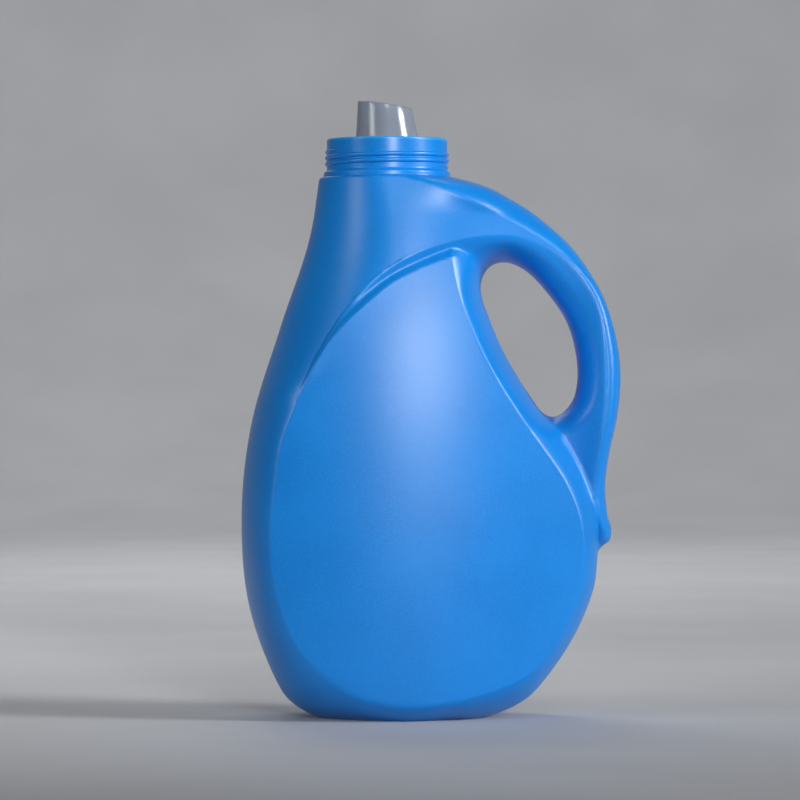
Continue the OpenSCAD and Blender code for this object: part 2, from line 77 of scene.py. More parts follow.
# %% Place the camera
image_size = 800
focal_px = 4185
camera_distance = 1.9
camera_x = -0.0141
camera_z = 0.1436
sensor_mm = 36
camera_data = bpy.data.cameras.new("camera")
camera_data.sensor_width = sensor_mm
camera_data.lens = sensor_mm * focal_px / image_size
camera = bpy.data.objects.new("camera", camera_data)
camera.location = (camera_x, -camera_distance, camera_z)
camera.rotation_euler = (math.radians(90), 0, 0)
bpy.context.scene.collection.objects.link(camera)
bpy.context.scene.camera = camera
print("lens in mm:", round(camera_data.lens, 1))

# %% [markdown]
# ## Curve tools
# A moulded skin like this one is drawn by a few lines in the side view and by a rule for its depth.
# These helpers read a smooth curve through chosen points, bend a line through points, and measure the
# distance from a point to a line. They work on whole arrays, so that a fine grid costs little time.


# %% Curves through points
def mix(a, b, t):
    return a + (b - a) * t


def ease(t):
    u = np.clip(t, 0, 1)
    return u * u * (3 - 2 * u)


def quarter(s):
    """A quarter ellipse: 1 where s is 0, falling to 0 where s is 1."""
    return np.sqrt(1 - np.clip(s, 0, 1) ** 2)


def creased(s, crease):
    """The same quarter ellipse, with a crease where it starts."""
    return quarter(s) * (1 - crease * np.clip(s, 0, 1))


def softened(gap, rounding):
    """A distance from an edge, eased so that a slope that starts there has a rounded edge."""
    return np.sqrt(gap * gap + rounding * rounding) - rounding


def blend_max(a, b, width):
    """The larger of two heights, with the valley between them rounded."""
    return (a + b + np.sqrt((a - b) ** 2 + width * width)) / 2


def curve(points, u):
    """A smooth curve through points (u, v), held level past its ends."""
    knots, values = np.array(points, float).T
    spans = np.diff(knots)
    secants = np.diff(values) / spans
    inner = (secants[:-1] * spans[1:] + secants[1:] * spans[:-1]) / (spans[:-1] + spans[1:])
    tangents = np.concatenate([secants[:1], inner, secants[-1:]])
    u = np.clip(np.asarray(u, float), knots[0], knots[-1])
    i = np.clip(np.searchsorted(knots, u, side="right") - 1, 0, len(spans) - 1)
    t = (u - knots[i]) / spans[i]
    rise = values[i] * (1 + 2 * t) * (1 - t) ** 2 + values[i + 1] * t * t * (3 - 2 * t)
    turn = tangents[i] * t * (1 - t) ** 2 - tangents[i + 1] * t * t * (1 - t)
    return rise + turn * spans[i]


def smooth_line(points, steps=8):
    """A smooth line through points (x, z), with some steps between each two."""
    p = np.array(points, float)
    a = np.vstack([p[:1], p[:-2]])[:, None]
    b = p[:-1][:, None]
    c = p[1:][:, None]
    d = np.vstack([p[2:], p[-1:]])[:, None]
    t = (np.arange(steps) / steps)[None, :, None]
    bent = 2 * b + (c - a) * t + (2 * a - 5 * b + 4 * c - d) * t**2 + (3 * b - a - 3 * c + d) * t**3
    return np.vstack([bent.reshape(-1, 2) / 2, p[-1:]])


# %% Distances and crossings
def distance_to(line, x, z):
    """The distance from each point to the nearest stretch of a line."""
    points = np.stack([x.ravel(), z.ravel()], 1)
    nearest = np.full(len(points), np.inf)
    for a, b in zip(line[:-1], line[1:]):
        step = b - a
        length = step @ step
        if length > 0:
            t = np.clip((points - a) @ step / length, 0, 1)
            nearest = np.minimum(nearest, np.hypot(*(points - a - t[:, None] * step).T))
    return nearest.reshape(x.shape)


def crossings(line, z):
    """The leftmost and rightmost x at which a line crosses each level."""
    a = line[:-1]
    b = line[1:]
    level = np.asarray(z, float)[:, None]
    crosses = ((a[:, 1] - level) * (b[:, 1] - level) <= 0) & (a[:, 1] != b[:, 1])
    rise = np.where(a[:, 1] == b[:, 1], 1, b[:, 1] - a[:, 1])
    x = mix(a[:, 0], b[:, 0], (level - a[:, 1]) / rise)
    return np.where(crosses, x, np.inf).min(1), np.where(crosses, x, -np.inf).max(1)


print("curve tools ready:", curve([(0, 0), (1, 2), (2, 2)], 0.5).round(3))

# %% [markdown]
# ## Lines of the side view
# The part's own design draws the bottle by its edges, the crest that sweeps over the shoulder and down
# the handle, the panel's outline and the finger gap. The same points are repeated here, because the
# skin must lie where the solid lies.

# %% Edges, crest, panel and finger gap
sheet_top = 246.5
floor_cut = 2
neck_height = rim_z - (sheet_top - floor_cut)
ledge_r = 30.7
front_points = [(0, -40), (22, -52), (48, -61.5), (91, -66), (135, -61.5), (178, -48.6), (222, -34.5)]
back_points = [(0, 55), (22, 74), (44, 87.6), (66, 94.8), (74, 95.5), (77.5, 96.2), (79.6, 98.2)]
back_points += [(81.3, 100.5), (84.8, 101.7), (94, 100), (106, 99), (120, 100.6), (138, 104.4)]
back_points += [(155, 106), (178, 103), (200, 94.2), (222, 76.5), (236.5, 56.3), (243, 43)]
wall_points = [(66, 94.8), (74, 95.5), (90, 95.2), (101, 93.5), (110, 91), (128, 81), (138, 75)]
crest_points = [(-40.2, 146.2), (-26.5, 174.6), (-7.4, 198.5), (13.9, 211.9), (34.9, 218.4)]
crest_points += [(48.3, 219.9), (61, 219), (80.5, 210), (94.1, 191), (98.2, 170), (98.7, 148), (96.9, 128.6)]
crest_points += [(93.7, 108.8), (95.5, 93), (100.5, 85)]
panel_top_edge = [(-39.2, 146.2), (-24.3, 172.3), (-2.5, 193.6), (11.7, 202.1), (28.8, 208.7)]
panel_ridge = [(28.8, 208.7), (33.4, 189.2), (44.9, 163), (62.7, 134.2), (80, 109), (87.5, 88)]
panel_ridge += [(86.7, 66.3), (80.4, 47.2), (71, 30.4), (57, 19.7), (34, 12)]
panel_loop = [(34, 12), (9, 9.5), (-16.7, 15.3), (-38.5, 34), (-49.6, 61.4), (-51.6, 85)]
panel_loop += [(-49.6, 110), (-46.5, 128), (-39.2, 146.2)]
finger_points = [(138, 75.2), (146, 75.2), (153, 73.7), (167.5, 69.2), (182, 63.8)]
finger_points += [(196.6, 56.6), (208, 52.7)]
finger_level = 173
finger_height = 70
finger_width = 34
finger_flare = 0.36

# %% Depths and roundings
depth_points = [(0, 41), (30, 44.5), (70, 47), (105, 47.5), (150, 46), (185, 42.5)]
depth_points += [(215, 37.5), (235, 33.2)]
front_round_points = [(146, 19.6), (160, 27), (175, 35), (190, 41), (205, 42), (222, 38)]
back_round_points = [(206, 6.5), (215, 10), (225, 16), (236, 25), (242, 28)]
tail_points = [(76, 0), (80, 0.35), (86, 0.62), (96, 0.88), (110, 1), (sheet_top, 1)]
handle_half = 15
base_round = 14
base_pull_front = 20
base_pull_back = 24
base_below = 4
base_middle = 8
panel_crown = 9
crown_x = -4
crown_reach = 60
crown_straight = 70
fall_start, fall_end = 5, 95
neck_blend = 228
back_round_start = 206
crest_end = 102
crest_flat = 0.4
flat_fade = 14
groove_steep, groove_gentle = 1.15, 0.32
groove_change, groove_change_width = 25, 55
panel_edge_slope = 0.9
groove_round = 2
tail_low, tail_high = 74, 92
tail_round, tail_fade = 6, 20
edge_round = 2.2
edge_crease = 0.15
tip_blend = 14
web_width = 15
web_blend = 16
rim_round = 10
pillow_low, pillow_high = 52, 76
for points in (front_points, back_points):
    points.append((sheet_top, math.copysign(ledge_r, points[-1][1])))
for points in (depth_points, front_round_points, back_round_points):
    points.append((sheet_top, ledge_r))
print("neck height:", round(neck_height, 2), "ledge radius:", ledge_r)

# %% Lines worked out from the points
tip_z = crest_points[0][1]
tail_tip = crest_points[-1][1]
apex_x, apex_z = panel_ridge[0]
finger_bottom = finger_level - finger_height / 2
finger_top = finger_level + finger_height / 2
crest_line = smooth_line(crest_points)
panel_top_line = smooth_line(panel_top_edge)
panel_line = np.vstack([panel_top_line, smooth_line(panel_ridge), smooth_line(panel_loop)])
crest_top = crest_line[:, 1].max()


def base_pull(z):
    return 1 - quarter(1 - z / base_round)


def front_x(z):
    return curve(front_points, z) + base_pull_front * base_pull(z)


def back_x(z):
    return curve(back_points, z) - base_pull_back * base_pull(z)


def finger_half(z):
    u = np.clip((z - finger_level) * 2 / finger_height, -1, 1)
    return finger_width / 2 * (1 + finger_flare / 2 * u) * np.sqrt(1 - u * u)


around = np.radians(np.arange(0, 361, 3))
finger_z = finger_level + finger_height / 2 * np.sin(around)
finger_rim_x = curve(finger_points, finger_z) + np.sign(np.cos(around)) * finger_half(finger_z)
finger_line = np.stack([finger_rim_x, finger_z], 1)
outline_z = 90 * np.linspace(0, 1, 40) ** 2
front_outline = np.stack([front_x(outline_z), outline_z], 1)[::-1]
back_outline = np.stack([back_x(outline_z), outline_z], 1)
outline_line = np.vstack([front_outline, [(base_middle, -base_below)], back_outline])
print("crest tops out at", round(crest_top, 1), "and the panel has", len(panel_line), "points")

# %% [markdown]
# ## The grid of the skin
# A blow-moulded skin is one closed sheet, so it is made as one grid of rows up the body and columns from
# the front edge round to the back. Columns follow the crest, the panel's edges and the finger gap where
# those run upwards, so that each fold lies along the mesh. One column is split round the finger gap.

# %% Levels and columns
front_columns, groove_columns, panel_columns = 28, 10, 26
web_columns, grip_columns, back_columns = 16, 20, 12
groove_at = front_columns
panel_at = groove_at + groove_columns
ridge_at = panel_at + panel_columns
seam = ridge_at + web_columns
crest_at = seam + grip_columns
last = crest_at + back_columns
low_guide = 30
panel_squeeze = 9
groove_squeeze = 3
low_crest_share = 0.6
groove_share = 0.3
groove_parting = 40
shoulder_level = 224
round_rows, low_rows, tail_rows, grip_rows = 14, 44, 30, 34
gap_rows, crest_rows, shoulder_rows = 84, 34, 44


def spread(a, b, count):
    return np.linspace(a, b, count, endpoint=False)


quarter_turn = np.linspace(0, math.pi / 2, shoulder_rows + 1)
half_turn = np.linspace(0, math.pi, gap_rows, endpoint=False)
low_levels = np.concatenate([
    floor_cut + (base_round - floor_cut) * (1 - np.cos(spread(0, math.pi / 2, round_rows))),
    spread(base_round, tail_low, low_rows),
    spread(tail_low, tail_high, tail_rows),
    spread(tail_high, finger_bottom, grip_rows),
])
gap_levels = mix(finger_bottom, finger_top, (1 - np.cos(half_turn)) / 2)
crest_levels = spread(finger_top, shoulder_level, crest_rows)
shoulder_levels = mix(shoulder_level, sheet_top, np.sin(quarter_turn))
levels = np.concatenate([low_levels, gap_levels, crest_levels, shoulder_levels])
gap_low = len(low_levels)
gap_high = gap_low + gap_rows
top = len(levels) - 1
print("rows:", len(levels), "columns on each side:", last + 1)


# %% Guide lines at each level
def guides(z):
    """The front edge, crest, panel, ridge, crest on the handle, and back edge at each level."""
    hair = 0.01
    front = front_x(z)
    back = back_x(z)
    kept = np.clip(z, low_guide + hair, apex_z - hair)
    panel_left, ridge = crossings(panel_line, kept)
    panel = np.minimum(panel_left, ridge - panel_squeeze)
    crest_right = crossings(crest_line, np.clip(z, tail_tip + hair, crest_top - hair))[1]
    crest_back = np.where(z > crest_end, crest_right, mix(ridge, back, low_crest_share))
    crest_left = crossings(crest_line, np.clip(z, tip_z + hair, crest_top - hair))[0]
    parting = ease((tip_z - z) / groove_parting)
    below = panel - mix(groove_squeeze, groove_share * (panel - front), parting)
    crest_front = np.where(z > tip_z, np.minimum(crest_left, panel - groove_squeeze), below)
    true_front = np.where(z > tip_z, crest_left, below)
    return front, crest_front, panel, ridge, crest_back, back, true_front, panel_left, crest_right


def crowded(t):
    """Even steps made closer at both ends, where a fold or an edge lies."""
    return (1 - math.cos(math.pi * t)) / 2


def row_xs(z):
    """The x of each column at each level. The last column is the finger gap's far side."""
    kept = np.clip(z, low_guide, finger_top)
    front, crest, panel, ridge, crest_back, back = guides(kept)[:6]
    foot = [line[0] for line in guides(np.array([finger_bottom]))]
    seam_share = (curve(finger_points, finger_bottom) - foot[3]) / (foot[4] - foot[3])
    inside = (kept > finger_bottom) & (kept < finger_top)
    opened = np.where(inside, finger_half(kept), 0)
    below = mix(ridge, crest_back, seam_share)
    middle = np.where(kept < finger_bottom, below, curve(finger_points, kept))
    left = middle - opened
    right = middle + opened
    columns = []
    for j in range(last + 1):
        if j <= groove_at:
            x = mix(front, crest, crowded(j / front_columns))
        elif j <= panel_at:
            x = mix(crest, panel, (j - groove_at) / groove_columns)
        elif j <= ridge_at:
            x = mix(panel, ridge, crowded((j - panel_at) / panel_columns))
        elif j <= seam:
            x = mix(ridge, left, crowded((j - ridge_at) / web_columns))
        elif j <= crest_at:
            x = mix(right, crest_back, crowded((j - seam) / grip_columns))
        else:
            x = mix(crest_back, back, math.sin(math.pi / 2 * (j - crest_at) / back_columns))
        columns.append(x)
    columns.append(right)
    share = (np.stack(columns, 1) - front[:, None]) / (back - front)[:, None]
    turn = np.append(np.arange(last + 1), seam)
    even_share = (1 - np.cos(math.pi * turn / last)) / 2
    even = ease(1 - z / low_guide) + ease((z - finger_top) / (sheet_top - finger_top))
    return mix(front_x(z)[:, None], back_x(z)[:, None], mix(share, even_share, even[:, None]))


grid_x = row_xs(levels)
grid_z = np.repeat(levels[:, None], last + 2, 1)
print("grid:", grid_x.shape)

# %% [markdown]
# ## The depth of the face
# The face's depth is a rule: a crowned panel, a hood that falls towards the handle, a groove below the
# crest, a rounded finger gap, and a pillow near the floor. Each is a short function of x and z. The
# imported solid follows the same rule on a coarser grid. Here its folds are a little rounder.


# %% Panel, hood and roundings
def crowned(x, z):
    run = np.abs(x - crown_x)
    bent = np.minimum(run, crown_straight)
    return curve(depth_points, z) - panel_crown * bent * (2 * run - bent) / crown_reach**2


def hood(x, z):
    u = np.clip((x - fall_start) / (fall_end - fall_start), 0, 1)
    turned = ease((z - neck_blend) / (sheet_top - neck_blend))
    fall = mix(0.5 + 0.5 * np.cos(math.pi * u), 1, turned)
    return mix(handle_half * curve(tail_points, z), crowned(np.minimum(x, crown_x), z), fall)


def front_rounding(x, z, edge, panel):
    upper = curve(front_round_points, z)
    above = ease((z - tip_z + tip_blend / 2) / tip_blend)
    width = mix(panel - edge, upper, above)
    return creased(1 - (x - edge) / width, edge_crease * (1 - above))


def back_rounding(x, z, edge, crest):
    on_arm = ease((z - back_round_start) / flat_fade + 0.5)
    width = mix(np.maximum(edge - crest, 1), curve(back_round_points, z), on_arm)
    on_grip = ease((z - crest_end) / flat_fade) * (1 - ease((z - back_round_start) / flat_fade + 1))
    share = np.clip(1 - (edge - x) / width, 0, 1)
    return quarter(share ** (1 + crest_flat * on_grip))


def panel_face(x, z, ridge):
    upper_edge = np.interp(x, panel_top_line[:, 0], panel_top_line[:, 1])
    upper_edge = np.where(x < apex_x, upper_edge, apex_z)
    over = softened(np.maximum(0, z - upper_edge), edge_round)
    over_gap = ease((z - finger_bottom) / web_blend + 0.5)
    width = mix(curve(wall_points, z) - ridge, web_width, over_gap)
    return (crowned(x, z) - panel_edge_slope * over) * creased((x - ridge) / width, edge_crease)


# %% Groove, finger gap and pillow
def groove(x, z):
    slope = mix(groove_steep, groove_gentle, ease((x - groove_change) / groove_change_width))
    return slope * softened(distance_to(crest_line, x, z), edge_round)


def finger_rounding(x, z):
    near = (z < finger_top + rim_round) & (z > finger_bottom - rim_round)
    return np.where(near, quarter(1 - distance_to(finger_line, x, z) / rim_round), 1)


def pillow(x, z, level):
    panel_left, panel_right = crossings(panel_line, level)
    inside = (x > panel_left[:, None]) & (x < panel_right[:, None])
    from_panel = np.where(inside, 0, distance_to(panel_line, x, z))
    from_edge = distance_to(outline_line, x, z)
    share = from_panel / np.maximum(from_panel + from_edge, MM)
    return crowned(x, z) * creased(share, edge_crease)


def face_depth(x, z, level):
    front, _, panel, ridge, crest_back, back, crest_front, panel_left, crest_right = (
        line[:, None] for line in guides(level)
    )
    left = np.where(z > tip_z, crest_front, panel_left)
    right = np.where(z > crest_end, crest_back, back)
    walled = (z < crest_top) & (x > left) & (x < right)
    below_crest = walled & (x < crest_right)
    rounded = back_rounding(x, z, back, crest_back)
    outer = hood(x, z) * front_rounding(x, z, front, panel_left) * rounded
    outer = outer - np.where(below_crest, groove(x, z), 0)
    valley = mix(tail_round, groove_round, ease((z - tail_high) / tail_fade)) * rounded
    valley = valley * np.where(x < apex_x, ease((z - tip_z) / tip_blend), 1)
    face = np.where(walled, blend_max(outer, panel_face(x, z, ridge), valley), outer)
    rise = ease((z - pillow_low) / (pillow_high - pillow_low))
    return mix(pillow(x, z, level), np.maximum(face, 0.01) * finger_rounding(x, z), rise)


grid_y = face_depth(grid_x, grid_z, levels)
grid_y[:, [0, last]] = 0
grid_y[gap_low:gap_high + 1, [seam, last + 1]] = 0
turn = np.append(np.arange(last + 1), seam) * math.pi / last
grid_x[top] = -ledge_r * np.cos(turn)
grid_y[top] = ledge_r * np.sin(turn)
skin = np.stack([grid_x, grid_y, grid_z], 2)
print("deepest half:", round(grid_y.max(), 2), "widest:", round(np.ptp(grid_x), 2))

# %% [markdown]
# ## The neck's section
# The neck is turned, so it is one section swept round the axis on the same columns as the body. Each
# corner of the section is rounded by a few points, with one support point beyond each end of the round,
# so that smooth shading keeps the flats flat.


# %% Round the corners of a section
def rounded_section(corners, arc_steps=4):
    """Points along a section given as (radius, height, rounding), with every corner rounded."""
    spots = np.array([corner[:2] for corner in corners], float)
    points = [spots[0]]
    support = 0.25
    for i in range(1, len(spots) - 1):
        rounding = corners[i][2]
        back = spots[i - 1] - spots[i]
        ahead = spots[i + 1] - spots[i]
        start = spots[i] + back / np.linalg.norm(back) * rounding
        end = spots[i] + ahead / np.linalg.norm(ahead) * rounding
        points.append(start + (start - spots[i]) * support)
        for t in np.linspace(0, 1, arc_steps + 1):
            points.append((1 - t) ** 2 * start + 2 * t * (1 - t) * spots[i] + t * t * end)
        points.append(end + (end - spots[i]) * support)
    points.append(spots[-1])
    return points


# %% Ledge, bead, wall, lip and bore
bead_r = 28.7
bead_top = 2.1
bead_slope = 1
seat_r = 26
bore_r = 25.1
flange_height = 1.4
lip_round = 0.85
ledge_round = 1.3
foot_round, bead_round, root_round, seat_round = 0.3, 0.5, 0.6, 0.15
near_top = np.clip((levels - (sheet_top - ledge_round)) / ledge_round, 0, 1)
inset = ledge_round * (1 - quarter(near_top))
reach = np.maximum(np.hypot(skin[:, :, 0], skin[:, :, 1]), 1)
skin[:, :, :2] *= (1 - inset[:, None] / reach)[:, :, None]
neck_section = rounded_section([
    (ledge_r - ledge_round, 0, 0),
    (bead_r, 0, foot_round),
    (bead_r, bead_top, bead_round),
    (neck_r, bead_top + bead_slope, root_round),
    (neck_r, neck_height, lip_round),
    (seat_r, neck_height, seat_round),
    (seat_r, neck_height - flange_height, seat_round),
    (bore_r, neck_height - flange_height, seat_round),
    (bore_r, 0, 0),
])[1:]


def neck_row(radius, height):
    """One ring of the neck, on the skin's own columns."""
    height = np.full(last + 2, sheet_top + height)
    return np.stack([-radius * np.cos(turn), radius * np.sin(turn), height], 1)


neck_rows = [neck_row(radius, height) for radius, height in neck_section]
print("rings on the neck:", len(neck_rows))

# %% [markdown]
# ## The inside of the wall
# The bottle is hollow. Its lining follows the skin at the wall's thickness, measured along the skin's
# normals, with fewer rows, because it is seen only through the neck.

# %% Offset the lining
wall = 1.6
flip_y = np.array([1, -1, 1])
lining_step = 4
before = np.concatenate([skin[:, 1:2] * flip_y, skin[:, :last]], 1)
after = np.concatenate([skin[:, 1:last + 1], skin[:, last - 1:last] * flip_y], 1)
before = np.concatenate([before, skin[:, seam + 1:seam + 2] * flip_y], 1)
after = np.concatenate([after, skin[:, seam + 1:seam + 2]], 1)
after[gap_low + 1:gap_high, seam] = skin[gap_low + 1:gap_high, seam - 1] * flip_y
upward = np.gradient(skin, axis=0)
inward = np.cross(after - before, upward)
inward /= np.maximum(np.linalg.norm(inward, axis=2, keepdims=True), 1e-6)
lining = skin + wall * inward
lining[:, [0, last], 1] = 0
lining[gap_low:gap_high + 1, [seam, last + 1], 1] = 0
for row, side in ((gap_high, 1), (gap_low, -1)):
    lining[row, [seam, last + 1]] = skin[row, [seam, last + 1]] + np.array([0, 0, side * wall])
inner_rows = sorted(set(range(0, top - 2, lining_step)) | {gap_low, gap_high}, reverse=True)
print("rows of the lining:", len(inner_rows))

# %% [markdown]
# ## The base
# A blown bottle stands on a ring, and the middle of its base is pushed up so that it cannot rock. The
# lowest row of the skin is drawn inwards to make the ring and the dome, on the outside and inside.

# %% Ring and dome
standing_ring = 5
push_up = 4
dome_steps = 9


def drawn_in(row, by, z):
    """A row of the skin drawn inwards by a distance, at a level of its own."""
    middle = (row[0, 0] + row[last, 0]) / 2
    half = (row[last, 0] - row[0, 0]) / 2
    drawn = row.copy()
    drawn[:, 0] = middle + (row[:, 0] - middle) * (1 - by / half)
    drawn[:, 1] = row[:, 1] * (1 - by / row[:, 1].max())
    drawn[:, 2] = z
    return drawn


def dome_rows(row, floor):
    """Rows from the pushed-up middle of the base out to the standing ring."""
    shares = np.linspace(1, 0, dome_steps)
    rows = [drawn_in(row, standing_ring + 2 * push_up * s, floor + push_up * ease(s)) for s in shares]
    rows.insert(0, drawn_in(row, standing_ring + 3 * push_up, floor + push_up))
    return rows + [drawn_in(row, standing_ring / 2, floor)]


base_rows = dome_rows(skin[0], floor_cut)
inner_base_rows = dome_rows(lining[0], floor_cut + wall)[::-1]
print("rows under the bottle:", len(base_rows))

# %% [markdown]
# ## One closed mesh
# The rows run from the middle of the base, up the outside, over the rim, down the bore and the lining
# to the inside of the base. Neighbouring rows are joined by quads, so the shell closes on itself with
# all its faces outwards.

# %% Chain the rows
WHOLE, RIM, SPLIT = 0, 1, 2


def gap_kind(r):
    if r in (gap_low, gap_high):
        return RIM
    return SPLIT if gap_low < r < gap_high else WHOLE


chain = [(row, WHOLE) for row in base_rows]
chain += [(skin[r], gap_kind(r)) for r in range(top + 1)]
chain += [(row, WHOLE) for row in neck_rows]
chain += [(lining[r], gap_kind(r)) for r in inner_rows]
chain += [(row, WHOLE) for row in inner_base_rows]
side_size = last + 2


def point_index(k, side, j, far=False):
    """The number of a point: edges and the gap's rim are shared by both sides."""
    kind = chain[k][1]
    shared = j in (0, last) or (j == seam and kind != WHOLE)
    column = last + 1 if far and kind == SPLIT else j
    return (2 * k + (0 if shared else side)) * side_size + column


def join_rows(k):
    """The faces between one row of the chain and the next."""
    faces = []
    for side in (0, 1):
        for j in range(last):
            far = j == seam
            face = [point_index(k, side, j, far), point_index(k, side, j + 1)]
            face += [point_index(k + 1, side, j + 1), point_index(k + 1, side, j, far)]
            faces.append(face[::-1] if side else face)
    return faces


def close_row(k, upward):
    """Faces across the middle of a row, from one side to the other."""
    faces = []
    for j in range(last):
        face = [point_index(k, 0, j), point_index(k, 0, j + 1)]
        face += [point_index(k, 1, j + 1), point_index(k, 1, j)]
        faces.append(face if upward else face[::-1])
    return faces


# %% Make a mesh piece
def make_piece(name, points_mm, faces):
    """A smooth mesh object from points on the sheet, with points that no face uses left out."""
    faces = [list(dict.fromkeys(face)) for face in faces]
    used = np.unique(np.concatenate(faces))
    place = np.zeros(len(points_mm), int)
    place[used] = np.arange(len(used))
    shift = np.array([neck_x, 0, -floor_cut])
    points = (points_mm[used] + shift) * MM
    mesh = bpy.data.meshes.new(name)
    mesh.from_pydata(points.tolist(), [], [place[face].tolist() for face in faces])
    mesh.shade_smooth()
    piece = bpy.data.objects.new(name, mesh)
    bpy.context.scene.collection.objects.link(piece)
    mesh.calc_loop_triangles()
    print(name, "has", len(mesh.loop_triangles), "triangles")
    return piece


sides = np.array([[1, -1, 1], [1, 1, 1]])
shell_points = np.concatenate([row * side for row, _ in chain for side in sides])
shell_faces = [face for k in range(len(chain) - 1) for face in join_rows(k)]
shell_faces += close_row(0, False) + close_row(len(chain) - 1, True)
bottle_skin = make_piece("bottle_skin", shell_points, shell_faces)

# %% [markdown]
# ## The thread
# A cap screws on to a right-hand thread of about two and three quarter turns. A thread is a bead of
# plastic that follows a helix, so Geometry Nodes draw the helix as a spiral curve and sweep a round
# profile along it. The bead thins out at both ends, where the thread runs out into the wall.


# %% A tree for a thread
helix_steps = 96
bead_steps = 14
thinnest = 0.05


def add_input(tree, name, kind):
    return tree.interface.new_socket(name, in_out="INPUT", socket_type=kind)


def build_thread_tree():
    """A node tree that sweeps a bead along a helix, with named inputs for its sizes."""
    tree = bpy.data.node_groups.new("thread_helix", "GeometryNodeTree")
    inputs = {}
    for name in ("Radius", "Pitch", "Turns", "Bead radius", "Run-out"):
        inputs[name] = add_input(tree, name, "NodeSocketFloat").identifier
    inputs["Foot"] = add_input(tree, "Foot", "NodeSocketVector").identifier
    inputs["Start angle"] = add_input(tree, "Start angle", "NodeSocketVector").identifier
    inputs["Material"] = add_input(tree, "Material", "NodeSocketMaterial").identifier
    tree.interface.new_socket("Thread", in_out="OUTPUT", socket_type="NodeSocketGeometry")

    def add(kind, values=None, **settings):
        node = tree.nodes.new(kind)
        for key, value in settings.items():
            setattr(node, key, value)
        for key, value in (values or {}).items():
            if isinstance(value, bpy.types.NodeSocket):
                tree.links.new(value, node.inputs[key])
            else:
                node.inputs[key].default_value = value
        return node

    def work_out(operation, a, b):
        return add("ShaderNodeMath", {0: a, 1: b}, operation=operation).outputs[0]

    given = add("NodeGroupInput").outputs
    helix = add("GeometryNodeCurveSpiral", {
        "Resolution": helix_steps,
        "Rotations": given["Turns"],
        "Start Radius": given["Radius"],
        "End Radius": given["Radius"],
        "Height": work_out("MULTIPLY", given["Pitch"], given["Turns"]),
        "Reverse": True,
    }).outputs[0]
    along = add("GeometryNodeSplineParameter").outputs["Factor"]
    nearer_end = work_out("MINIMUM", along, work_out("SUBTRACT", 1.0, along))
    share = work_out("DIVIDE", nearer_end, given["Run-out"])
    thick = work_out("MAXIMUM", work_out("MINIMUM", share, 1.0), thinnest)
    bead = add("GeometryNodeCurvePrimitiveCircle", {
        "Resolution": bead_steps,
        "Radius": given["Bead radius"],
    })
    swept = add("GeometryNodeCurveToMesh", {
        "Curve": helix,
        "Profile Curve": bead.outputs[0],
        "Scale": thick,
        "Fill Caps": True,
    }).outputs[0]
    smooth = add("GeometryNodeSetShadeSmooth", {"Geometry": swept}).outputs[0]
    placed = add("GeometryNodeTransform", {
        "Geometry": smooth,
        "Translation": given["Foot"],
        "Rotation": given["Start angle"],
    }).outputs[0]
    whole_mesh = add("GeometryNodeRealizeInstances", {"Geometry": placed}).outputs[0]
    dressed = add("GeometryNodeSetMaterial", {"Geometry": whole_mesh, "Material": given["Material"]})
    add("NodeGroupOutput", {0: dressed.outputs[0]})
    return tree, inputs


thread_tree, thread_inputs = build_thread_tree()
print("thread inputs:", list(thread_inputs))


# %% Sweep the thread
def piece_from_tree(name, tree, inputs, values):
    """A plain mesh object made by a tree, with the modifier taken off again."""
    piece = bpy.data.objects.new(name, bpy.data.meshes.new(name))
    bpy.context.scene.collection.objects.link(piece)
    modifier = piece.modifiers.new(name, "NODES")
    modifier.node_group = tree
    for key, value in values.items():
        modifier[inputs[key]] = value
    bpy.context.view_layer.update()
    depsgraph = bpy.context.evaluated_depsgraph_get()
    made = bpy.data.meshes.new_from_object(piece.evaluated_get(depsgraph), depsgraph=depsgraph)
    piece.modifiers.clear()
    piece.data = made
    made.name = name
    made.calc_loop_triangles()
    print(name, "has", len(made.loop_triangles), "triangles")
    return piece


blue_plastic = bpy.data.materials.new("blue_polyethylene")
thread_pitch = 2.77
thread_turns = 2.82
bead_radius = 1.15
bead_sink = 0.25
thread_rise = 4.25
thread_foot = sheet_top - floor_cut + thread_rise
thread_start = math.radians(-53)
thread_run_out = 0.07
neck_thread = piece_from_tree("neck_thread", thread_tree, thread_inputs, {
    "Radius": (neck_r - bead_sink) * MM,
    "Pitch": thread_pitch * MM,
    "Turns": thread_turns,
    "Bead radius": bead_radius * MM,
    "Run-out": thread_run_out,
    "Foot": (neck_x * MM, 0, thread_foot * MM),
    "Start angle": (0, 0, thread_start),
    "Material": blue_plastic,
})
heights = [vertex.co.z / MM for vertex in neck_thread.data.vertices]
print("thread from z", round(min(heights), 2), "to", round(max(heights), 2))

# %% [markdown]
# ## The pour spout
# The insert is a thin moulding: a flange that sits in the rim, a skirt in the bore, a sloping trough
# and a leaning tube with a slanted mouth. Its section is worked out at each angle round the tube, so
# the wall keeps its thickness and the lip can be rounded, and the sections close into one mesh.

# %% Spout sizes
spout_front, spout_back = 17.4, 13.8
spout_d = 28.6
spout_taper = 0.27
spout_lean = math.radians(4.8)
spout_wall = 1.3
skirt_depth = 15
seat_width = 0.9
floor_depth = 9
floor_fall = math.radians(8)
drain_d = 5
fit_gap = 0.1
edge_cut = 0.25
fillet = 1.2
fillet_bend = 0.35 * fillet
lip = spout_wall / 2
wall_steps = 8
lip_steps = 6
lip_start = 0.15
skirt_r = bore_r - fit_gap
flange_r = skirt_r + seat_width
tube_foot = skirt_depth - spout_wall
mouth_slant = math.atan2(spout_front - spout_back, spout_d - spout_front * spout_taper)
mouth_height = (spout_front + spout_back) / 2


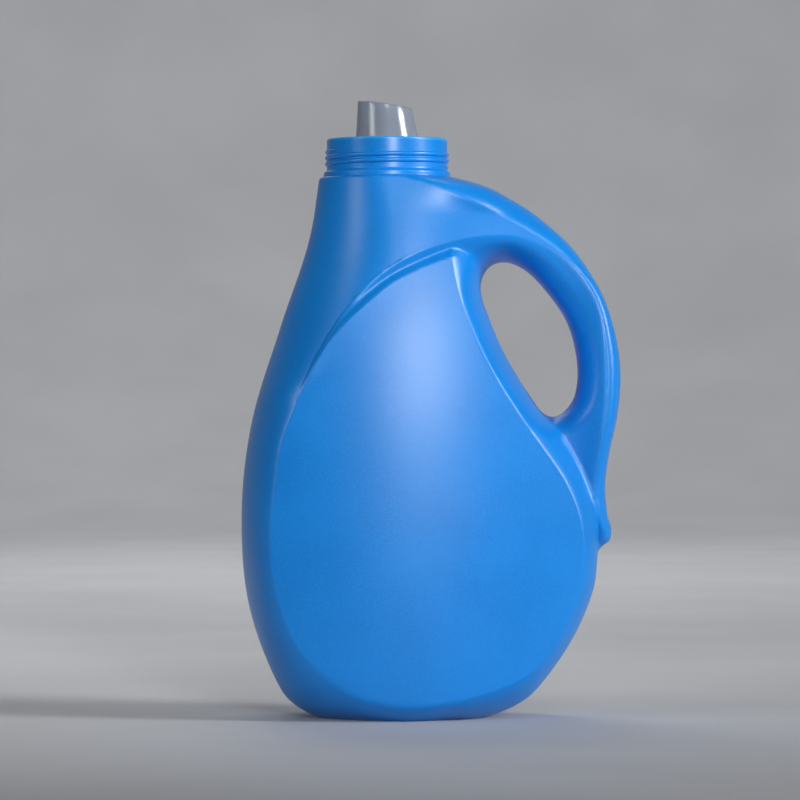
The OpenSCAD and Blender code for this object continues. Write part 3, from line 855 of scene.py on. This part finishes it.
# %% Points on the leaning tube
def tube_point(angle, height, wall_depth):
    """A point of the tube's wall, at a height along its leaning axis and a depth into the wall."""
    radius = (spout_d - height * spout_taper) / 2 - wall_depth
    across = radius * math.cos(angle)
    x = across * math.cos(spout_lean) - height * math.sin(spout_lean)
    z = across * math.sin(spout_lean) + height * math.cos(spout_lean)
    return np.array([x, radius * math.sin(angle), z])


def height_at_plane(angle, wall_depth, slope, level):
    """The height along the tube at which its wall meets a plane that falls towards the back."""
    normal = np.array([math.sin(slope), 0, math.cos(slope)])
    low = tube_point(angle, 0, wall_depth) @ normal - level * math.cos(slope)
    high = tube_point(angle, 1, wall_depth) @ normal - level * math.cos(slope)
    return -low / (high - low)


def ring_point(angle, radius, z):
    return np.array([radius * math.cos(angle), radius * math.sin(angle), z])


def floor_z(point, level):
    return np.array([point[0], point[1], level - point[0] * math.tan(floor_fall)])


# %% The spout's section at one angle
def spout_section(angle):
    """The closed section of the insert at one angle, from the skirt's foot round to itself."""
    inner_r = skirt_r - spout_wall
    points = [ring_point(angle, skirt_r - edge_cut, -skirt_depth)]
    points += [ring_point(angle, skirt_r, -skirt_depth + edge_cut)]
    points += [ring_point(angle, skirt_r, -flange_height)]
    points += [ring_point(angle, flange_r - edge_cut, -flange_height)]
    points += [ring_point(angle, flange_r, -flange_height + edge_cut)]
    points += [ring_point(angle, flange_r, -edge_cut)]
    points += [ring_point(angle, flange_r - edge_cut, 0), ring_point(angle, inner_r + edge_cut, 0)]
    points += [ring_point(angle, inner_r, -edge_cut)]
    floor_top = -floor_depth + spout_wall / math.cos(floor_fall)
    points += [floor_z(ring_point(angle, inner_r, 0), floor_top + fillet)]
    points += [floor_z(ring_point(angle, inner_r - fillet_bend, 0), floor_top + fillet_bend)]
    points += [floor_z(ring_point(angle, inner_r - fillet, 0), floor_top)]
    foot = height_at_plane(angle, 0, floor_fall, floor_top)
    outward = tube_point(angle, foot, 0)
    reach = np.hypot(outward[0], outward[1])
    points += [floor_z(outward * (1 + fillet / reach), floor_top)]
    points += [floor_z(outward * (1 + fillet_bend / reach), floor_top + fillet_bend)]
    points += [tube_point(angle, foot + fillet, 0)]
    mouth = height_at_plane(angle, lip, mouth_slant, mouth_height)
    for share in np.linspace(lip_start, 1, wall_steps):
        points.append(tube_point(angle, mix(foot + fillet, mouth - lip, share), 0))
    for turn_share in np.linspace(lip_start, 1 - lip_start, lip_steps):
        bend = math.pi * turn_share
        points.append(tube_point(angle, mouth - lip + lip * math.sin(bend), lip - lip * math.cos(bend)))
    for share in np.linspace(0, 1, wall_steps):
        points.append(tube_point(angle, mix(mouth - lip, -tube_foot, share), spout_wall))
    points.append(tube_point(angle, -tube_foot, 0))
    under = -floor_depth
    points.append(tube_point(angle, height_at_plane(angle, 0, floor_fall, under), 0))
    points.append(floor_z(ring_point(angle, inner_r, 0), under))
    points.append(ring_point(angle, inner_r, -skirt_depth + edge_cut))
    points.append(ring_point(angle, inner_r + edge_cut, -skirt_depth))
    return points


# %% Close the sections into the insert
spout_columns = 144
sections = [spout_section(2 * math.pi * k / spout_columns) for k in range(spout_columns)]
section_size = len(sections[0])
rim_shift = np.array([0, 0, rim_z + floor_cut])
spout_points = np.concatenate(sections) + rim_shift
spout_faces = []
for k in range(spout_columns):
    for i in range(section_size):
        here = k * section_size
        there = (k + 1) % spout_columns * section_size
        ahead = (i + 1) % section_size
        spout_faces.append([here + i, there + i, there + ahead, here + ahead])
spout_shell = make_piece("spout_insert", spout_points, spout_faces)

# %% Drill the drain hole
drain_x = neck_x + (spout_d / 2 + skirt_r) / 2
drill_sides = 32
drill_points = []
for z in (rim_z - skirt_depth, rim_z):
    for k in range(drill_sides):
        a = 2 * math.pi * k / drill_sides
        drill_points.append((drain_x + drain_d / 2 * math.cos(a), drain_d / 2 * math.sin(a), z))
drill_faces = [list(range(drill_sides))[::-1], list(range(drill_sides, 2 * drill_sides))]
for k in range(drill_sides):
    ahead = (k + 1) % drill_sides
    drill_faces.append([k, ahead, drill_sides + ahead, drill_sides + k])
drill_mesh = bpy.data.meshes.new("drill")
drill_mesh.from_pydata([tuple(np.array(p) * MM) for p in drill_points], [], drill_faces)
drill = bpy.data.objects.new("drill", drill_mesh)
bpy.context.scene.collection.objects.link(drill)
cut = spout_shell.modifiers.new("drain hole", "BOOLEAN")
cut.operation = "DIFFERENCE"
cut.object = drill
cut.solver = "EXACT"
bpy.context.view_layer.update()
depsgraph = bpy.context.evaluated_depsgraph_get()
drilled = bpy.data.meshes.new_from_object(spout_shell.evaluated_get(depsgraph), depsgraph=depsgraph)
spout_shell.modifiers.clear()
spout_shell.data = drilled
drilled.name = "spout_insert"
bpy.data.objects.remove(drill)
print("insert after drilling:", len(drilled.polygons), "faces")

# %% [markdown]
# ## Shader maths
# A finish is a small sum of patterns. One class wraps a node's output, so that a sum on outputs adds the
# Math nodes it needs, and one method makes every other node.


# %% Wrap a socket
class Wire:
    """A node's output that takes part in sums. A wire with no socket only makes nodes."""

    def __init__(self, tree, socket=None):
        self.tree = tree
        self.socket = socket

    def node(self, kind, settings=None, inputs=None, output=0):
        """Make a node, set it up, fill or link its inputs, and wrap one of its outputs."""
        made = self.tree.nodes.new(kind)
        for key, value in (settings or {}).items():
            setattr(made, key, value)
        for key, value in (inputs or {}).items():
            if isinstance(value, Wire):
                self.tree.links.new(value.socket, made.inputs[key])
            else:
                made.inputs[key].default_value = value
        return Wire(self.tree, made.outputs[output])

    def math(self, operation, a, b=0.0):
        return self.node("ShaderNodeMath", {"operation": operation}, {0: a, 1: b})

    def __add__(self, other):
        return self.math("ADD", self, other)

    __radd__ = __add__

    def __sub__(self, other):
        return self.math("SUBTRACT", self, other)

    def __rsub__(self, other):
        return self.math("SUBTRACT", other, self)

    def __mul__(self, other):
        return self.math("MULTIPLY", self, other)

    __rmul__ = __mul__

    def __truediv__(self, other):
        return self.math("DIVIDE", self, other)

    def size(self):
        return self.math("ABSOLUTE", self)

    def between(self, low, high):
        """0 below low and 1 above high, eased."""
        span = {"From Min": low, "From Max": high, "Value": self}
        return self.node("ShaderNodeMapRange", {"interpolation_type": "SMOOTHSTEP"}, span)

    def colours(self, first, second):
        """A colour between two, by this wire."""
        ends = {"Factor": self, 6: first, 7: second}
        return self.node("ShaderNodeMix", {"data_type": "RGBA"}, ends, output=2)


def noise(wire, coords, scale, detail=2.0, roughness=0.5):
    """A noise pattern, with features of about one part in scale of a metre."""
    inputs = {"Vector": coords, "Scale": scale, "Detail": detail, "Roughness": roughness}
    return wire.node("ShaderNodeTexNoise", {}, inputs)


def start_material(material):
    """The wire, the object's coordinates and the finish of a material."""
    material.use_nodes = True
    tree = material.node_tree
    wire = Wire(tree)
    coords = wire.node("ShaderNodeTexCoord", output="Object")
    return wire, coords, tree.nodes["Principled BSDF"]


def feed(wire, finish, **inputs):
    for name, value in inputs.items():
        wire.tree.links.new(value.socket, finish.inputs[name.replace("_", " ")])


print("shader maths ready")

# %% [markdown]
# ## Blue polyethylene
# The body is blown in a sandblasted mould, so its skin is satin with a very fine grain, a little glossier
# on the neck. A thin parting line runs round the bottle where the halves of the mould met. Slight
# clouds in the pigment keep the colour from being flat. A paler blue band on the top of the rim is a
# painted highlight, where the rounded lip catches light from above.

# %% Finish of the body
wire, coords, finish = start_material(blue_plastic)
axes = wire.node("ShaderNodeSeparateXYZ", {}, {"Vector": coords})
across_seam = Wire(wire.tree, axes.socket.node.outputs["Y"])
height = Wire(wire.tree, axes.socket.node.outputs["Z"])
clouds = noise(wire, coords, 28, 3)
grain = noise(wire, coords, 1150, 3, 0.6)
fine_grain = noise(wire, coords, 4200, 2)
on_neck = height.between((sheet_top - floor_cut - 1) * MM, (sheet_top - floor_cut + 1) * MM)
on_seam = 1 - across_seam.size().between(0.0001, 0.0003)
blue_deep = (0.0018, 0.18, 0.58, 1)
blue_pale = (0.003, 0.215, 0.665, 1)
# painted highlight: a paler blue on the top of the rim, standing in for the rounded lip catching light from
# above
rim_highlight_blue = (0.012, 0.27, 0.68, 1)
rim_highlight_low, rim_highlight_high = 1.9, 0.7
painted_rim_highlight = height.between((rim_z - rim_highlight_low) * MM, (rim_z - rim_highlight_high) * MM)
tint = (clouds * 0.4 + grain * 0.6).between(0.35, 0.65)
# the random pigment tint, with the painted rim highlight mixed in near the top of the rim
colour = painted_rim_highlight.colours(tint.colours(blue_deep, blue_pale), rim_highlight_blue)
satin = 0.34 + 0.05 * (clouds - 0.5) + 0.06 * (grain - 0.5) - 0.04 * on_neck
grain_height = 0.05 * MM
seam_height = 0.06 * MM
texture = (grain * 0.6 + fine_grain * 0.4) * (1 - 0.6 * on_neck)
relief = texture * grain_height + on_seam * seam_height
bump = wire.node("ShaderNodeBump", {}, {"Height": relief, "Strength": 1.0, "Distance": 1.0})
feed(wire, finish, Base_Color=colour, Roughness=satin, Normal=bump)
finish.inputs["IOR"].default_value = 1.47
for piece in (bottle_skin, neck_thread):
    piece.data.materials.clear()
    piece.data.materials.append(blue_plastic)
print("blue polyethylene:", len(wire.tree.nodes), "nodes")

# %% [markdown]
# ## Natural plastic
# The insert is moulded without pigment, so it is milky and lets light through. Its surface is smooth,
# with a soft waviness from the flow of the melt.

# %% Finish of the insert
natural_plastic = bpy.data.materials.new("natural_plastic")
wire, coords, finish = start_material(natural_plastic)
flow = noise(wire, coords, 120, 2)
haze = noise(wire, coords, 45, 3)
milky = haze.between(0.3, 0.7).colours((0.35, 0.40, 0.49, 1), (0.42, 0.47, 0.56, 1))
gloss = 0.09 + 0.08 * haze
flow_height = 0.03 * MM
relief = flow * flow_height
bump = wire.node("ShaderNodeBump", {}, {"Height": relief, "Strength": 1.0, "Distance": 1.0})
feed(wire, finish, Base_Color=milky, Roughness=gloss, Normal=bump)
finish.inputs["IOR"].default_value = 1.5
finish.inputs["Transmission Weight"].default_value = 0.5
spout_shell.data.materials.clear()
spout_shell.data.materials.append(natural_plastic)
print("natural plastic:", len(wire.tree.nodes), "nodes")

# %% [markdown]
# ## Floor and light
# The bottle stands on a plain pale floor that curves up far away on all sides, so that every view has
# the same quiet ground. Each light is a soft box with a grid, which keeps its beam on the bottle and off
# the floor. A small key box behind the camera draws the upright highlight on the neck and panel, a large
# box on the right lights the handle, and weaker ones fill the top and the left side. Two boxes behind
# the bottle light the ground, because light that bounces off the floor in front would veil the blue.

# %% A round floor to stand on
floor_paint = bpy.data.materials.new("floor_paint")
wire, coords, finish = start_material(floor_paint)
speckle = noise(wire, coords, 6, 4)
floor_grey = (0.48, 0.49, 0.51, 1)
floor_pale = (0.53, 0.54, 0.56, 1)
paint = speckle.between(0.2, 0.8).colours(floor_grey, floor_pale)
feed(wire, finish, Base_Color=paint)
finish.inputs["Roughness"].default_value = 0.7
flat_r, rise_r, wall_height = 2.6, 1.2, 3.4
floor_turn = 96
flat_rings, rise_rings = 6, 24
floor_line = [(flat_r * k / flat_rings, 0.0) for k in range(1, flat_rings + 1)]
for k in range(1, rise_rings + 1):
    a = math.pi / 2 * k / rise_rings
    floor_line.append((flat_r + rise_r * math.sin(a), rise_r * (1 - math.cos(a))))
floor_line.append((flat_r + rise_r, wall_height))
floor_points = [(0.0, 0.0, 0.0)]
for radius, z in floor_line:
    for k in range(floor_turn):
        a = 2 * math.pi * k / floor_turn
        floor_points.append((radius * math.cos(a), radius * math.sin(a), z))
floor_faces = [(0, 1 + k, 1 + (k + 1) % floor_turn) for k in range(floor_turn)]
for i in range(len(floor_line) - 1):
    for k in range(floor_turn):
        here = 1 + i * floor_turn
        ahead = (k + 1) % floor_turn
        floor_faces.append((here + k, here + floor_turn + k, here + floor_turn + ahead, here + ahead))
floor_mesh = bpy.data.meshes.new("round_floor")
floor_mesh.from_pydata(floor_points, [], floor_faces)
floor_mesh.shade_smooth()
floor_mesh.materials.append(floor_paint)
round_floor = bpy.data.objects.new("round_floor", floor_mesh)
bpy.context.scene.collection.objects.link(round_floor)


# %% Soft boxes
def soft_box(name, place, aim, side, beam, power):
    """A square area light with a grid that narrows its beam, aimed at a point."""
    data = bpy.data.lights.new(name, "AREA")
    data.shape = "SQUARE"
    data.size = side
    data.spread = math.radians(beam)
    data.energy = power
    box = bpy.data.objects.new(name, data)
    box.location = place
    box.rotation_euler = (Vector(aim) - Vector(place)).to_track_quat("-Z", "Y").to_euler()
    box.visible_camera = False
    bpy.context.scene.collection.objects.link(box)


soft_box("key_box", (0.446, -2.21, 0.605), (0, 0, 0.21), side=0.3, beam=24, power=0.5)
soft_box("right_box", (1.42, -0.5, 0.85), (0.05, 0, 0.36), side=1.0, beam=26, power=3)
soft_box("top_box", (0.27, -1.4, 1.25), (0, 0, 0.3), side=0.5, beam=36, power=0.22)
soft_box("left_box", (-1.4, -0.9, 0.9), (0, 0, 0.4), side=1.6, beam=30, power=1.6)
soft_box("back_box", (-0.5, 1.5, 1.3), (0, 0.9, 0), side=0.9, beam=120, power=2)
soft_box("ground_box", (0, 1.3, 2.2), (0, 2.9, 0.3), side=1.2, beam=160, power=36)
world = bpy.data.worlds.new("studio")
world.use_nodes = True
world.node_tree.nodes["Background"].inputs["Color"].default_value = (0.8, 0.85, 0.92, 1)
world.node_tree.nodes["Background"].inputs["Strength"].default_value = 0.03
bpy.context.scene.world = world
bpy.context.scene.view_settings.view_transform = "Standard"

# %% [markdown]
# ## Hand the pieces over
# Each piece rides on the imported part's one body. The skin and the insert stand for their solids, and the
# thread is added to the neck.

# %% Ride and replace
for piece, slot in ((bottle_skin, "blue_polyethylene"), (neck_thread, "blue_polyethylene")):
    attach(piece, "root")
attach(spout_shell, "root")
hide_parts("bottle")
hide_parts("pour_spout")
